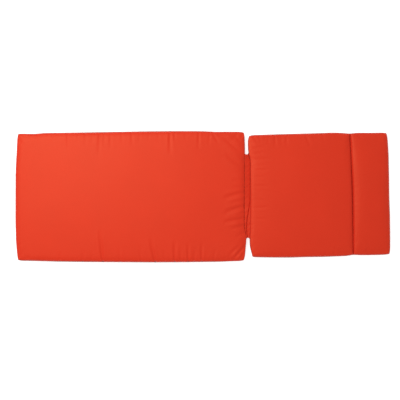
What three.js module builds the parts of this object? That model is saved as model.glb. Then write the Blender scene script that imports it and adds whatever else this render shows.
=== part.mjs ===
// Sun lounger cushion: a long seat and leg pad and a shorter back pad, joined by a slack cloth flap
// over the lounger's hinge. Each pad is a top and a bottom panel of canvas over a filling, sewn
// together along one seam at mid height. A line of sewing right through the back pad parts off its
// head end. Millimetres, +Z up. X runs from the foot end to the head end and Y across. The origin is
// on the surface that the cushion lies on, under the middle of its length and width.

import * as THREE from "three";

// Driving dimensions of a pad's section
const SEAM_HEIGHT = 22;
const SHOULDER_HEIGHT = 42; // top face just inside the rounded edge
const CROWN_RISE = 8; // how much higher the middle of a pad is than its shoulder
const CROWN_POWER = 2.6; // a higher power gives a flatter middle
const TOP_ROLL = 14; // how far in from the seam the top face is rounded
const HINGE_ROLL = 5; // and along the side that the flap is sewn to
const BOTTOM_ROLL = 16; // and the bottom face, which lies flat past it
const ROLL_POWER = 2.4; // 2 is an ellipse, and a higher power is squarer
const EDGE_SAG = 2.5; // how much lower the top face is at its edges, where the filling thins out
const EDGE_SAG_REACH = 14;
const HINGE_SAG_REACH = 24; // the further sag beside the flap is in each pad's table
const CORNER_BLOCK = 34; // the square at each corner that is drawn round

// The head channel, sewn through both panels
const CHANNEL_ROLL = 14; // how far from the stitch line both faces are rounded
const CHANNEL_FILL = 0.1; // the share of the thickness that is left at the stitch line

// The flap between the two pads
const FLAP_THICKNESS = 2;
const FLAP_FAR_END = 226;
const FLAP_NEAR_END = -220;
const FLAP_HEM = 16;
const FLAP_HEM_THICKNESS = 3.4;
const FLAP_HEM_STEP = 1.5; // how far it takes for a hem to step down to the single cloth
const FLAP_BULGE = 8; // how far it rises above the seam beside the seat pad
const FLAP_FALL = 8.5; // and how far it falls from there to the back pad
const FLAP_HOLD_POWER = 30; // a higher power lets it rise more steeply from its seams
const FLAP_STEP_WIDTH = 0.28; // the share of its width that a step in its fall takes
const FLAP_STEPS = 16;
const FLAP_PITCH = 20;
const FLAP_CLOSEST = 0.1; // lines along it that are closer than this are one line
const SEAM_CLEARANCE = 0.3;

// Grid lines of the panels: at these distances from an edge seam or the channel, then evenly spaced
const EDGE = { steps: [0, 1.2, 4, 8, 14, 25], flatFrom: BOTTOM_ROLL };
const HINGE_EDGE = { steps: [0, 0.8, 3, 8, 15, 25], flatFrom: BOTTOM_ROLL };
const CHANNEL = { steps: [0, 1.2, 4, 8, 14], flatFrom: CHANNEL_ROLL };
const GRID_PITCH = 32;
const CLOSEST_LINES = 9;
const RIDGE_AT = 0.75; // a crease's two ridges lie this share of its width from its middle

// Outlines at the seam, and soft creases of the top face. Each pad was sewn and filled unevenly, so
// no side is straight. At its two ends the flap draws the seams together. The corners towards the
// foot end and the head end are rounded: 0 is square, and 1 a full quarter circle. For a crease, an
// angle of 0 runs along X, and 90 across.
const SEAT = {
  sides: [
    { x: -1000, far: 337, near: -341 },
    { x: -912, far: 335, near: -342.5 },
    { x: -860, far: 339.5, near: -344 },
    { x: -780, far: 341, near: -346 },
    { x: -610, far: 343.5, near: -348 },
    { x: -440, far: 346.5, near: -349 },
    { x: -280, far: 349, near: -350 },
    { x: -140, far: 350, near: -349.5 },
    { x: -10, far: 349.5, near: -348 },
    { x: 75, far: 346.5, near: -347 },
    { x: 155, far: 346.5, near: -344 },
    { x: 225, far: 346, near: -342 },
  ],
  ends: [
    { y: -350, foot: -987, hinge: 221.5 },
    { y: -300, foot: -991.5, hinge: 226 },
    { y: -262, foot: -995, hinge: 230 },
    { y: -234, foot: -997, hinge: 232.5 },
    { y: -221, foot: -997.5, hinge: 233 },
    { y: -205, foot: -998, hinge: 231 },
    { y: -182, foot: -998.5, hinge: 226 },
    { y: -155, foot: -999.5, hinge: 222.5 },
    { y: -110, foot: -1000, hinge: 222 },
    { y: 105, foot: -999.5, hinge: 222 },
    { y: 195, foot: -996, hinge: 222.5 },
    { y: 227, foot: -994, hinge: 224.5 },
    { y: 243, foot: -993, hinge: 225 },
    { y: 290, foot: -991, hinge: 224 },
    { y: 350, foot: -987, hinge: 221.5 },
  ],
  corners: {
    foot: { near: 0.28, far: 0.3 },
    head: { near: 0.34, far: 0.34 },
  },
  hingeSag: 4,
  creases: [
    // Drawn out by the pull of the flap
    { x: 152, y: 282, angle: -39, length: 136, width: 24, depth: 2.4 },
    { x: 164, y: 196, angle: -36, length: 118, width: 24, depth: 2.4 },
    { x: 182, y: 87, angle: -5, length: 84, width: 20, depth: 1.6 },
    { x: 163, y: 7, angle: 15, length: 122, width: 22, depth: 2.6 },
    { x: 166, y: -68, angle: 16, length: 122, width: 22, depth: 2.6 },
    { x: 166, y: -127, angle: 9, length: 118, width: 22, depth: 2.4 },
    { x: 188, y: -304, angle: 44, length: 88, width: 20, depth: 2.6 },
    // Puckers of the far side's seam
    { x: -720, y: 306, angle: 90, length: 84, width: 20, depth: 2 },
    { x: -549, y: 303, angle: 88, length: 96, width: 22, depth: 2.6 },
    { x: -379, y: 312, angle: 92, length: 76, width: 20, depth: 2 },
    { x: -176, y: 298, angle: 91, length: 112, width: 22, depth: 3 },
    { x: -21, y: 308, angle: 89, length: 84, width: 20, depth: 1.8 },
    // Puckers of the near side's seam
    { x: -541, y: -252, angle: 96, length: 160, width: 24, depth: 2.6 },
    { x: -264, y: -284, angle: 102, length: 126, width: 22, depth: 3.2 },
    { x: -149, y: -294, angle: 90, length: 104, width: 20, depth: 2.6 },
    { x: -77, y: -300, angle: 90, length: 92, width: 20, depth: 2.2 },
    { x: -5, y: -300, angle: 91, length: 92, width: 20, depth: 2.2 },
  ],
};

const BACK = {
  sides: [
    { x: 240, far: 327, near: -322 },
    { x: 350, far: 331, near: -324 },
    { x: 445, far: 334, near: -324.5 },
    { x: 540, far: 336.5, near: -322 },
    { x: 640, far: 339.5, near: -320.5 },
    { x: 705, far: 341.5, near: -318 },
    { x: 765, far: 339.2, near: -315 },
    { x: 795, far: 337, near: -310 },
    { x: 830, far: 340.5, near: -311.5 },
    { x: 900, far: 340.5, near: -311 },
    { x: 1000, far: 342, near: -308 },
  ],
  ends: [
    { y: -330, hinge: 266, channel: 803, head: 999 },
    { y: -290, hinge: 257, channel: 802, head: 999.5 },
    { y: -262, hinge: 251, channel: 801, head: 1000 },
    { y: -234, hinge: 250, channel: 800.5, head: 1000 },
    { y: -221, hinge: 250.5, channel: 800, head: 1000 },
    { y: -195, hinge: 252.5, channel: 799.5, head: 1000 },
    { y: -160, hinge: 254, channel: 799, head: 999.5 },
    { y: -110, hinge: 254, channel: 797.5, head: 999 },
    { y: 0, hinge: 254, channel: 794, head: 995.5 },
    { y: 105, hinge: 254, channel: 791, head: 994 },
    { y: 185, hinge: 254, channel: 788.5, head: 992.5 },
    { y: 208, hinge: 250.5, channel: 787.5, head: 992 },
    { y: 227, hinge: 245, channel: 787, head: 991.5 },
    { y: 243, hinge: 242, channel: 786.5, head: 990.5 },
    { y: 290, hinge: 240.5, channel: 785, head: 987.5 },
    { y: 345, hinge: 245, channel: 784, head: 982 },
  ],
  corners: {
    foot: { near: 0.1, far: 0.38 },
    head: { near: 0.33, far: 0.3 },
  },
  hingeSag: 2,
  creases: [
    // Drawn out by the pull of the flap
    { x: 310, y: 196, angle: 4, length: 108, width: 20, depth: 1.8 },
    { x: 308, y: 138, angle: 2, length: 104, width: 20, depth: 2 },
    { x: 312, y: 78, angle: -3, length: 110, width: 20, depth: 1.8 },
    { x: 306, y: -60, angle: 5, length: 100, width: 20, depth: 1.6 },
    // Puckers of the far side's seam
    { x: 385, y: 298, angle: 88, length: 72, width: 20, depth: 1.8 },
    { x: 444, y: 300, angle: 91, length: 70, width: 20, depth: 1.6 },
    { x: 560, y: 300, angle: 110, length: 76, width: 20, depth: 2.2 },
  ],
};

// The flap falls evenly from the seat pad to the back pad over most of its length. Towards its near
// end a fold steps down in it, and runs over to the seat pad. The fold's place is its share of the way
// across, `step` the share of the fall that it takes, and `regain` how much of that the cloth regains.
const FLAP_FOLD = [
  { y: -240, place: 0.24, step: 0.8, regain: 0.1 },
  { y: -170, place: 0.29, step: 0.8, regain: 0.12 },
  { y: -125, place: 0.42, step: 0.9, regain: 0.2 },
  { y: -92, place: 0.57, step: 0.95, regain: 0.25 },
  { y: -65, place: 0.72, step: 0.85, regain: 0.25 },
  { y: -28, place: 0.88, step: 0.3, regain: 0.1 },
  { y: 0, place: 0.93, step: 0, regain: 0 },
  { y: 240, place: 0.93, step: 0, regain: 0 },
];

const CANVAS_COLOUR = "#dc4529";

const { clamp, lerp, degToRad, smoothstep } = THREE.MathUtils;
const range = (count) => Array.from({ length: count }, (_, i) => i);

// A smooth curve through a table, which never swings past its rows: a function that gives column
// `to` for a value of column `from`.
function curveThrough(rows, from, to) {
  const rise = rows.slice(1).map((row, i) => (row[to] - rows[i][to]) / (row[from] - rows[i][from]));
  const slopeAt = (i) => {
    const before = rise[Math.max(i - 1, 0)];
    const after = rise[Math.min(i, rise.length - 1)];
    return before * after > 0 ? (2 * before * after) / (before + after) : 0;
  };
  return (value) => {
    const at = clamp(value, rows[0][from], rows.at(-1)[from]);
    const i = Math.max(rows.findIndex((row) => at <= row[from]) - 1, 0);
    const span = rows[i + 1][from] - rows[i][from];
    const t = (at - rows[i][from]) / span;
    const leaving = span * slopeAt(i) * t * (1 - t) ** 2;
    const arriving = span * slopeAt(i + 1) * t ** 2 * (1 - t);
    return lerp(rows[i][to], rows[i + 1][to], t * t * (3 - 2 * t)) + leaving - arriving;
  };
}

// Rounding of a sewn edge: 0 at the stitch line, rising steeply and then easing to 1 at `reach`.
function roll(distance, reach) {
  const left = 1 - clamp(distance / reach, 0, 1);
  return (1 - left ** ROLL_POWER) ** (1 / ROLL_POWER);
}

// Crown of a pad in one direction: 0 at both of its seams and 1 in the middle.
const crown = (share) => 1 - Math.abs(2 * clamp(share, 0, 1) - 1) ** CROWN_POWER;

// Lines across a panel between two sewn lines, close together at each of them and at the marks.
// `at` places a line for any places of the two sewn lines, and `flat` says that the underside is
// past its rounding there.
function linesBetween(start, end, from, to, marks) {
  const startInset = start.steps.at(-1);
  const endInset = end.steps.at(-1);
  const stops = [from + startInset];
  for (const mark of [...marks.toSorted((a, b) => a - b), to - endInset]) {
    const last = mark === to - endInset;
    const gap = mark - stops.at(-1);
    if (!last && (gap < CLOSEST_LINES || mark > to - endInset - CLOSEST_LINES)) continue;
    const count = Math.ceil(gap / GRID_PITCH);
    const before = stops.at(-1);
    for (const k of range(count)) stops.push(before + (gap * (k + 1)) / count);
  }
  const shares = stops.slice(1, -1).map((stop) => (stop - stops[0]) / (stops.at(-1) - stops[0]));
  return [
    ...start.steps.map((step) => ({ at: (a) => a + step, flat: step >= start.flatFrom })),
    ...shares.map((share) => ({
      at: (a, b) => lerp(a + startInset, b - endInset, share),
      flat: true,
    })),
    ...end.steps.toReversed().map((step) => ({ at: (a, b) => b - step, flat: step >= end.flatFrom })),
  ];
}

// Where the grid needs lines so that a crease's trough and the ridge on each side of it show.
function creaseMarks(creases, axis) {
  const crosses = ({ angle }) => Math.abs(Math.sin(degToRad(angle))) > Math.SQRT1_2;
  return creases
    .filter((crease) => crosses(crease) === (axis === "x"))
    .flatMap((crease) => [-RIDGE_AT, 0, RIDGE_AT].map((side) => crease[axis] + side * crease.width));
}

// Height that the creases take from the top face: soft troughs with a low ridge on each side.
function creaseDepth(creases, x, y) {
  let depth = 0;
  for (const crease of creases) {
    const turn = degToRad(crease.angle);
    const along = (x - crease.x) * Math.cos(turn) + (y - crease.y) * Math.sin(turn);
    const across = (y - crease.y) * Math.cos(turn) - (x - crease.x) * Math.sin(turn);
    const end = clamp(1 - ((2 * along) / crease.length) ** 2, 0, 1);
    const off = (across / (crease.width / 2)) ** 2;
    depth += crease.depth * end * (1 - off) * Math.exp(-off / 2);
  }
  return depth;
}

// The grid of a pad. `cross` are its sewn lines from the foot end to the head end: its two ends, and
// the channel between them where it has one.
function padGrid(table, cross) {
  const guides = cross.map(({ column }) => curveThrough(table.ends, "y", column));
  const middles = guides.map((guide) => guide(0));
  const nearSide = curveThrough(table.sides, "x", "near");
  const farSide = curveThrough(table.sides, "x", "far");
  const marks = creaseMarks(table.creases, "x");
  const columns = [];
  for (const zone of range(cross.length - 1)) {
    const inZone = marks.filter((x) => x > middles[zone] && x < middles[zone + 1]);
    const edges = [cross[zone].edge, cross[zone + 1].edge];
    const lines = linesBetween(...edges, middles[zone], middles[zone + 1], inZone);
    for (const line of zone === 0 ? lines : lines.slice(1)) columns.push({ zone, ...line });
  }
  const hinge = cross.findIndex(({ column }) => column === "hinge");
  const hingeSides = [nearSide(middles[hinge]), farSide(middles[hinge])];
  const rowMarks = [...creaseMarks(table.creases, "y"), ...table.ends.map(({ y }) => y)];
  const rows = linesBetween(EDGE, EDGE, ...hingeSides, rowMarks);
  const hingeSeam = rows.map((row) => row.at(...hingeSides)).map((y) => ({ y, x: guides[hinge](y) }));
  const { creases, corners, hingeSag } = table;
  return {
    creases, corners, hingeSag, hinge, guides, middles, nearSide, farSide, columns, rows, hingeSeam,
  };
}

// A point of the grid in plan, with its distances from the sewn lines and its shares of the pad.
function gridPoint(grid, column, row) {
  const nominal = column.at(grid.middles[column.zone], grid.middles[column.zone + 1]);
  const near = grid.nearSide(nominal);
  const far = grid.farSide(nominal);
  const y = row.at(near, far);
  const sewn = grid.guides.map((guide) => guide(y));
  const x = column.at(sewn[column.zone], sewn[column.zone + 1]);
  const zoneShare = (x - sewn[column.zone]) / (sewn[column.zone + 1] - sewn[column.zone]);
  return {
    x,
    y,
    fromFoot: x - sewn[0],
    fromHead: sewn.at(-1) - x,
    fromHinge: Math.abs(x - sewn[grid.hinge]),
    fromFreeEnd: Math.abs(x - (grid.hinge === 0 ? sewn.at(-1) : sewn[0])),
    fromNear: y - near,
    fromFar: far - y,
    fromChannel: Math.min(...sewn.slice(1, -1).map((line) => Math.abs(x - line)), Infinity),
    crown: crown(zoneShare) * crown((y - near) / (far - near)),
  };
}

// Draws a point near a corner in, so that the grid's square corner becomes a rounded one.
function roundCorner(point, corners) {
  const byFoot = point.fromFoot < point.fromHead;
  const byNear = point.fromNear < point.fromFar;
  const rounding = corners[byFoot ? "foot" : "head"][byNear ? "near" : "far"];
  const inX = clamp(1 - Math.min(point.fromFoot, point.fromHead) / CORNER_BLOCK, 0, 1);
  const inY = clamp(1 - Math.min(point.fromNear, point.fromFar) / CORNER_BLOCK, 0, 1);
  const pull = (own, other) => own * (1 - Math.sqrt(1 - (other * other) / 2)) * CORNER_BLOCK;
  return [
    point.x + (byFoot ? 1 : -1) * pull(inX, inY) * rounding,
    point.y + (byNear ? 1 : -1) * pull(inY, inX) * rounding,
  ];
}

// How much lower the top face is at a point, because the filling thins out towards the seam.
function sag(point, hingeSag) {
  const fromSeam = Math.min(point.fromFoot, point.fromHead, point.fromNear, point.fromFar);
  const byHinge = hingeSag * Math.exp(-point.fromHinge / HINGE_SAG_REACH);
  return EDGE_SAG * Math.exp(-fromSeam / EDGE_SAG_REACH) + byHinge;
}

// Share of a pad's fill at a point, for a face that is rounded over `reach` from the edge seam, and
// over `hingeReach` from the seam that the flap is sewn to.
function fillShare(point, reach, hingeReach) {
  const ends = roll(point.fromFreeEnd, reach) * roll(point.fromHinge, hingeReach);
  const sides = roll(Math.min(point.fromNear, point.fromFar), reach);
  return ends * sides * lerp(CHANNEL_FILL, 1, roll(point.fromChannel, CHANNEL_ROLL));
}

// Points with the triangles between them. Heights are from the seam.
class Surface {
  points = [];
  triangles = [];
  addPoint(x, y, z) {
    this.points.push(x, y, z);
    return this.points.length / 3 - 1;
  }
  addTriangle(a, b, c) {
    this.triangles.push(a, b, c);
  }
  addQuad(a, b, c, d) {
    this.addTriangle(a, b, c);
    this.addTriangle(a, c, d);
  }
  // Fills a flat underside within a ring of points, given anticlockwise as seen from above.
  addUnderside(ring) {
    const plan = ring.map((p) => new THREE.Vector2(this.points[3 * p], this.points[3 * p + 1]));
    for (const [a, b, c] of THREE.ShapeUtils.triangulateShape(plan, [])) {
      this.addTriangle(ring[a], ring[c], ring[b]);
    }
  }
  geometry() {
    const geometry = new THREE.BufferGeometry();
    geometry.setAttribute("position", new THREE.Float32BufferAttribute(this.points, 3));
    geometry.setIndex(this.triangles);
    geometry.computeVertexNormals();
    return geometry;
  }
}

// The rim of a block of grid points, anticlockwise.
function ringOf(points, [left, right], [low, high]) {
  return [
    ...range(right - left).map((k) => points[left + k][low]),
    ...range(high - low).map((k) => points[right][low + k]),
    ...range(right - left).map((k) => points[right - k][high]),
    ...range(high - low).map((k) => points[left][high - k]),
  ];
}

// Runs of neighbouring lines that are flat underneath, each as its first and last index.
function flatRuns(lines) {
  const runs = [];
  lines.forEach((line, i) => {
    if (!line.flat) return;
    if (i > 0 && lines[i - 1].flat) runs.at(-1)[1] = i;
    else runs.push([i, i]);
  });
  return runs;
}

function padGeometry(grid) {
  const { columns, rows, creases, corners, hingeSag } = grid;
  const surface = new Surface();
  const top = columns.map(() => []);
  const bottom = columns.map(() => []);
  columns.forEach((column, i) => {
    rows.forEach((row, j) => {
      const point = gridPoint(grid, column, row);
      const [x, y] = roundCorner(point, corners);
      const onSeam = i === 0 || j === 0 || i === columns.length - 1 || j === rows.length - 1;
      const crowned = SHOULDER_HEIGHT - SEAM_HEIGHT + CROWN_RISE * point.crown;
      const full = crowned - sag(point, hingeSag) - creaseDepth(creases, x, y);
      const underneath = fillShare(point, BOTTOM_ROLL, BOTTOM_ROLL);
      const depth = column.flat && row.flat ? SEAM_HEIGHT : SEAM_HEIGHT * underneath;
      top[i][j] = surface.addPoint(x, y, onSeam ? 0 : full * fillShare(point, TOP_ROLL, HINGE_ROLL));
      bottom[i][j] = onSeam ? top[i][j] : surface.addPoint(x, y, -depth);
    });
  });
  for (const i of range(columns.length - 1)) {
    for (const j of range(rows.length - 1)) {
      surface.addQuad(top[i][j], top[i + 1][j], top[i + 1][j + 1], top[i][j + 1]);
      if ([columns[i], columns[i + 1], rows[j], rows[j + 1]].every((line) => line.flat)) continue;
      surface.addQuad(bottom[i][j], bottom[i][j + 1], bottom[i + 1][j + 1], bottom[i + 1][j]);
    }
  }
  for (const columnRun of flatRuns(columns)) {
    for (const rowRun of flatRuns(rows)) surface.addUnderside(ringOf(bottom, columnRun, rowRun));
  }
  return surface.geometry();
}

// The flap's middle surface across one place on its length, with the way that its face points.
function flapSection(from, to, { place, step, regain }) {
  const height = (share) => {
    const stepped = smoothstep((share - place) / FLAP_STEP_WIDTH, -0.5, 0.5);
    const beyond = clamp((share - place) / (1 - place), 0, 1);
    const fallen = ((1 - step) * share + step * stepped) * (1 - regain * beyond);
    const held = 1 - Math.abs(2 * share - 1) ** FLAP_HOLD_POWER;
    return held * (FLAP_BULGE - FLAP_FALL * fallen);
  };
  const width = to - from;
  const nudge = 1e-3;
  return range(FLAP_STEPS + 1).map((k) => {
    const share = k / FLAP_STEPS;
    const slope = (height(share + nudge) - height(share - nudge)) / (2 * nudge * width);
    const atSeam = share === 0 || share === 1;
    const flat = atSeam ? 0 : slope;
    const length = Math.hypot(flat, 1);
    return { x: from + share * width, z: height(share), leanX: -flat / length, leanZ: 1 / length };
  });
}

// Places of the lines along the flap: its ends and hems, each point of both seams, so that its edges
// follow them, and more where these are far apart.
function flapLines(seams) {
  const hemSteps = [0, FLAP_HEM, FLAP_HEM + FLAP_HEM_STEP];
  const stops = [
    ...hemSteps.map((step) => FLAP_NEAR_END + step),
    ...hemSteps.map((step) => FLAP_FAR_END - step),
    ...seams.flat().map(({ y }) => y).filter((y) => y > FLAP_NEAR_END && y < FLAP_FAR_END),
  ].toSorted((a, b) => a - b);
  const lines = [stops[0]];
  for (const stop of stops.slice(1)) {
    const last = lines.at(-1);
    if (stop - last < FLAP_CLOSEST) continue;
    const count = Math.ceil((stop - last) / FLAP_PITCH);
    for (const k of range(count)) lines.push(lerp(last, stop, (k + 1) / count));
  }
  return lines;
}

// Where a seam lies at one place along the flap, straight between the seam's own points.
function seamAt(seam, y) {
  const i = seam.findIndex((point) => point.y >= y) - 1;
  return lerp(seam[i].x, seam[i + 1].x, (y - seam[i].y) / (seam[i + 1].y - seam[i].y));
}

function flapGeometry(seatSeam, backSeam) {
  const surface = new Surface();
  const [place, step, regain] = ["place", "step", "regain"].map((column) => {
    return curveThrough(FLAP_FOLD, "y", column);
  });
  const lengthwise = flapLines([seatSeam, backSeam]);
  const face = (half) => lengthwise.map((y) => {
    const from = seamAt(seatSeam, y) + SEAM_CLEARANCE;
    const to = seamAt(backSeam, y) - SEAM_CLEARANCE;
    const hemmed = Math.min(y - FLAP_NEAR_END, FLAP_FAR_END - y) < FLAP_HEM + FLAP_CLOSEST;
    const offset = half * (hemmed ? FLAP_HEM_THICKNESS : FLAP_THICKNESS) / 2;
    const section = flapSection(from, to, { place: place(y), step: step(y), regain: regain(y) });
    return section.map((p) => surface.addPoint(p.x + offset * p.leanX, y, p.z + offset * p.leanZ));
  });
  const upper = face(1);
  const lower = face(-1);
  const lastRow = lengthwise.length - 1;
  for (const j of range(lastRow)) {
    for (const k of range(FLAP_STEPS)) {
      surface.addQuad(upper[j][k], upper[j][k + 1], upper[j + 1][k + 1], upper[j + 1][k]);
      surface.addQuad(lower[j][k], lower[j + 1][k], lower[j + 1][k + 1], lower[j][k + 1]);
    }
    surface.addQuad(lower[j][0], upper[j][0], upper[j + 1][0], lower[j + 1][0]);
    surface.addQuad(
      upper[j][FLAP_STEPS],
      lower[j][FLAP_STEPS],
      lower[j + 1][FLAP_STEPS],
      upper[j + 1][FLAP_STEPS],
    );
  }
  for (const k of range(FLAP_STEPS)) {
    surface.addQuad(lower[0][k], lower[0][k + 1], upper[0][k + 1], upper[0][k]);
    surface.addQuad(upper[lastRow][k], upper[lastRow][k + 1], lower[lastRow][k + 1], lower[lastRow][k]);
  }
  return surface.geometry();
}

// A piece of the cushion, drawn about its seam and lifted so that the pads rest on the surface.
function sewnPiece(name, geometry) {
  const canvas = new THREE.MeshStandardMaterial({ color: CANVAS_COLOUR, roughness: 0.92, metalness: 0 });
  const mesh = new THREE.Mesh(geometry, canvas);
  mesh.name = name;
  mesh.position.z = SEAM_HEIGHT;
  return mesh;
}

const seatGrid = padGrid(SEAT, [
  { column: "foot", edge: EDGE },
  { column: "hinge", edge: HINGE_EDGE },
]);
const backGrid = padGrid(BACK, [
  { column: "hinge", edge: HINGE_EDGE },
  { column: "channel", edge: CHANNEL },
  { column: "head", edge: EDGE },
]);

const cushion = new THREE.Group();
cushion.name = "sun_lounger_cushion";
cushion.add(
  sewnPiece("seat_pad", padGeometry(seatGrid)),
  sewnPiece("back_pad", padGeometry(backGrid)),
  sewnPiece("hinge_flap", flapGeometry(seatGrid.hingeSeam, backGrid.hingeSeam)),
);

export default cushion;
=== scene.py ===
"""A sun lounger cushion, laid flat: a seat pad and a back pad of orange red canvas, a slack flap of
the same cloth between them, and a channel sewn through the back pad to part off its head end."""

import bpy
import math
import numpy as np
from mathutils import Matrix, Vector


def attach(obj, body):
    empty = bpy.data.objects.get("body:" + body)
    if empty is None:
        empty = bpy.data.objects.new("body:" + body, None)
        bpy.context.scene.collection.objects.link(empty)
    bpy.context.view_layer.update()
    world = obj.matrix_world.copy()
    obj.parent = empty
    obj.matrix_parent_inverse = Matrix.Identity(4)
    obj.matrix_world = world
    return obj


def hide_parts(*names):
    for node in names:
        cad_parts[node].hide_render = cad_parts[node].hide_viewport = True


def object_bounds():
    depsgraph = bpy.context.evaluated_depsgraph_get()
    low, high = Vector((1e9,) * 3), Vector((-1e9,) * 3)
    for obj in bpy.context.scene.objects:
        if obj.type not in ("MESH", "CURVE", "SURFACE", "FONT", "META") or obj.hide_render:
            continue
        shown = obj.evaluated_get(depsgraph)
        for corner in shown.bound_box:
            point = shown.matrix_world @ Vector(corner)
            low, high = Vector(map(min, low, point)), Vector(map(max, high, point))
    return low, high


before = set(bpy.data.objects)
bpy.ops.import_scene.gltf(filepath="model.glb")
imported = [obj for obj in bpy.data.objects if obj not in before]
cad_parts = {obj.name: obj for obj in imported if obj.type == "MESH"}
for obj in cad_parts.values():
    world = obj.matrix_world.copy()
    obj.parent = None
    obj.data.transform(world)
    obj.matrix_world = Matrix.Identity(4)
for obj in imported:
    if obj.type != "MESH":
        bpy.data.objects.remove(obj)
cad_low, cad_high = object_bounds()
MM = 0.001

# Camera
# The photo looks straight down on the cushion through a long lens. The cushion's length in the photo
# gives the scale, and the pixel at its middle gives the aim.
PHOTO_PIXELS = 400
LENGTH_PIXELS = 374.6
MIDDLE_PIXEL = (202.8, 196.7)
LENS = 85
SENSOR = 36
SEAM_HEIGHT = 22 * MM

pixel = (cad_high.x - cad_low.x) / LENGTH_PIXELS
camera_data = bpy.data.cameras.new("photo_camera")
camera_data.lens = LENS
camera_data.sensor_width = SENSOR
camera = bpy.data.objects.new("photo_camera", camera_data)
camera.location = (
    (PHOTO_PIXELS / 2 - MIDDLE_PIXEL[0]) * pixel,
    (MIDDLE_PIXEL[1] - PHOTO_PIXELS / 2) * pixel,
    SEAM_HEIGHT + PHOTO_PIXELS * pixel * LENS / SENSOR,
)
bpy.context.scene.collection.objects.link(camera)
bpy.context.scene.camera = camera

# Studio
# A white floor that glows a little, as a light table does, so that no hard shadow lies on it. One
# large soft light hangs beyond the foot end's far corner. The white room is brightest overhead.
FLOOR_SIZE = 60
FLOOR_WHITE = (0.6, 0.6, 0.6, 1)
FLOOR_GLOW = 0.75
ROOM_LIGHT_LOW = 0.28
ROOM_LIGHT_OVERHEAD = 0.87
KEY_PLACE = Vector((-1.3, 0.95, 3.0))
KEY_SIZE = 1.6
KEY_POWER = 76

floor_mesh = bpy.data.meshes.new("floor")
reach = FLOOR_SIZE / 2
floor_corners = [(-reach, -reach, 0), (reach, -reach, 0), (reach, reach, 0), (-reach, reach, 0)]
floor_mesh.from_pydata(floor_corners, [], [(0, 1, 2, 3)])
floor = bpy.data.objects.new("floor", floor_mesh)
bpy.context.scene.collection.objects.link(floor)
floor_paint = bpy.data.materials.new("floor_white")
floor_paint.use_nodes = True
floor_shader = floor_paint.node_tree.nodes["Principled BSDF"]
floor_shader.inputs["Base Color"].default_value = FLOOR_WHITE
floor_shader.inputs["Roughness"].default_value = 1
floor_shader.inputs["Specular IOR Level"].default_value = 0
floor_shader.inputs["Emission Color"].default_value = (1, 1, 1, 1)
floor_shader.inputs["Emission Strength"].default_value = FLOOR_GLOW
floor_mesh.materials.append(floor_paint)

room = bpy.data.worlds.new("white_room")
room.use_nodes = True
room_nodes = room.node_tree.nodes
room_links = room.node_tree.links
sight = room_nodes.new("ShaderNodeTexCoord")
sight_parts = room_nodes.new("ShaderNodeSeparateXYZ")
room_links.new(sight.outputs["Generated"], sight_parts.inputs[0])
brightness = room_nodes.new("ShaderNodeMapRange")
brightness.inputs["To Min"].default_value = ROOM_LIGHT_LOW
brightness.inputs["To Max"].default_value = ROOM_LIGHT_OVERHEAD
room_links.new(sight_parts.outputs["Z"], brightness.inputs["Value"])
room_links.new(brightness.outputs["Result"], room_nodes["Background"].inputs["Strength"])
room_nodes["Background"].inputs["Color"].default_value = (1, 1, 1, 1)
bpy.context.scene.world = room

key_data = bpy.data.lights.new("soft_key", "AREA")
key_data.shape = "DISK"
key_data.size = KEY_SIZE
key_data.energy = KEY_POWER
key = bpy.data.objects.new("soft_key", key_data)
key.location = KEY_PLACE
key.rotation_euler = (-KEY_PLACE).to_track_quat("-Z", "Y").to_euler()
bpy.context.scene.collection.objects.link(key)
bpy.context.scene.view_settings.view_transform = "Standard"

# Seat pad
# A top and a bottom panel of canvas, sewn together along one seam at mid height and filled. The
# filling rounds the edges and crowns the top. The seam gathers the cloth, so that puckers run in
# from it, and the flap pulls creases out of the hinge end.
SHOULDER_HEIGHT = 42 * MM
CROWN_RISE = 8 * MM
CROWN_POWER = 2.6
EDGE_SAG = 2.5 * MM
EDGE_SAG_REACH = 14 * MM
HINGE_SAG_REACH = 24 * MM
TOP_ROLL = 11 * MM
HINGE_ROLL = 2.5 * MM
BOTTOM_ROLL = 16 * MM
ROLL_POWER = 2.4
SEAM_STANDS_OUT = 0.8 * MM
NEAR_ENOUGH = 0.1 * MM
CHANNEL_ROLL = 14 * MM
CHANNEL_FILL = 0.1
# How far from the seam the cloth is faded by wear and darkened by a painted shade, and how much less of
# both there is beside the flap's hinge
WEAR_AND_SHADE_REACH = 6.5 * MM
SHELTER_REACH = 5 * WEAR_AND_SHADE_REACH
SHELTERED_WEAR_AND_SHADE = 0.5
FLAP_FAR = 226 * MM
FLAP_NEAR = -220 * MM

# Grid lines: those round a sewn edge, and the pitch of the rest along and across the pad
FINE_LINES = (11, 4.3 * MM, 6.0 * MM)
SETTLING_LINES = (8, 10 * MM, 10 * MM)
# Points along a side, where its stretches are cut and where its puckers start, and the grid line
# from which a border moves outward
CUTTING_POINTS = 4000
PUCKER_POINTS = 600
OUTWARD_FROM = 8

# Unevenness: height, shortest and longest wave, and number of waves
LOOSE_CLOTH_WAVES = (0.6 * MM, 20 * MM, 120 * MM, 24)
FILLING_WAVES = (0.5 * MM, 150 * MM, 380 * MM, 5)
# Forms of creases and puckers: how sharply a crease fades at its ends, how high the ridges beside
# them stand, and how much a pucker widens
CREASE_FADE_POWER = 2.5
CREASE_RIDGES = 0.9
PUCKER_RIDGES = 0.8
PUCKER_SPREAD = (0.7, 1.3)
# Small puckers: spacing and depth in millimetres, then the ranges of their lean, length, width,
# share of that depth and share of that spacing
TOP_PUCKERS = (25, 0.8)
UNDER_PUCKERS = (30, 1.0)
CHANNEL_PUCKERS = (24, 0.9)
PUCKERS_START = 12
PUCKER_LEANS = (-22, 22)
PUCKER_LENGTHS = (16, 46)
PUCKER_WIDTHS = (8, 17)
PUCKER_DEPTH_SHARES = (0.2, 1)
PUCKER_DEPTH_POWER = 1.6
PUCKER_GAP_SHARES = (0.45, 1.55)
# How full an edge is where its creases and puckers reach their whole depth, and where a pad lies
# flat on the ground
WHOLE_RELIEF_FILL = 0.3
LYING_FILL = 0.999

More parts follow.
